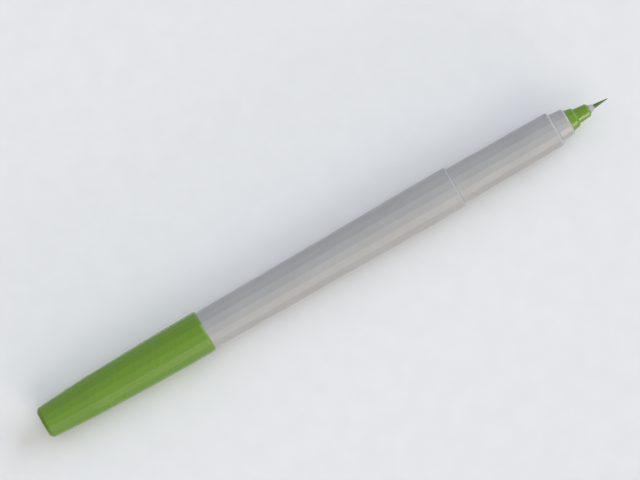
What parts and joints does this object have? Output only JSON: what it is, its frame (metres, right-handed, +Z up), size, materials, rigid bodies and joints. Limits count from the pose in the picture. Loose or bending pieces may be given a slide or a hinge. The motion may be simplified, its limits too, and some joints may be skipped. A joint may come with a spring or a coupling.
{
  "type": "felt tip marker",
  "caption": "Felt tip marker with a sixteen-sided tapering barrel, stepped nose, fine fibre nib and ink reservoir, its pull-off cap posted on the tail.",
  "frame": {"origin": "centre of the footprint, on the surface that the marker lies on", "axes": "+X along the marker's length towards its point, +Z up from the surface, +Y to the left seen from the tail"},
  "size_m": [0.1598, 0.0106, 0.0107],
  "materials": {
    "barrel_white": "satin",
    "cap_green": "satin",
    "natural_plastic": "smooth",
    "film": "gloss",
    "nib_fibre": "fibrous, ink-soaked",
    "ink_fibre": "fibrous, ink-soaked"
  },
  "bodies": {
    "pen": {"barrel": "barrel_white", "grip_section": "barrel_white", "nose_collar": "barrel_white", "nib_holder": "cap_green", "nib_ferrule": "barrel_white", "fibre_nib": "nib_fibre", "reservoir_core": "ink_fibre", "reservoir_film": "film", "breather_tube": "natural_plastic", "tail_plug": "cap_green"},
    "cap": {"cap_shell": "cap_green", "cap_inner_seal": "natural_plastic", "cap_end_plug": "cap_green"}
  },
  "joints": [
    {"name": "cap_pull", "type": "slide", "parent": "pen", "child": "cap", "axis": [-1, 0, 0], "range_m": [0, 0.03]}
  ]
}
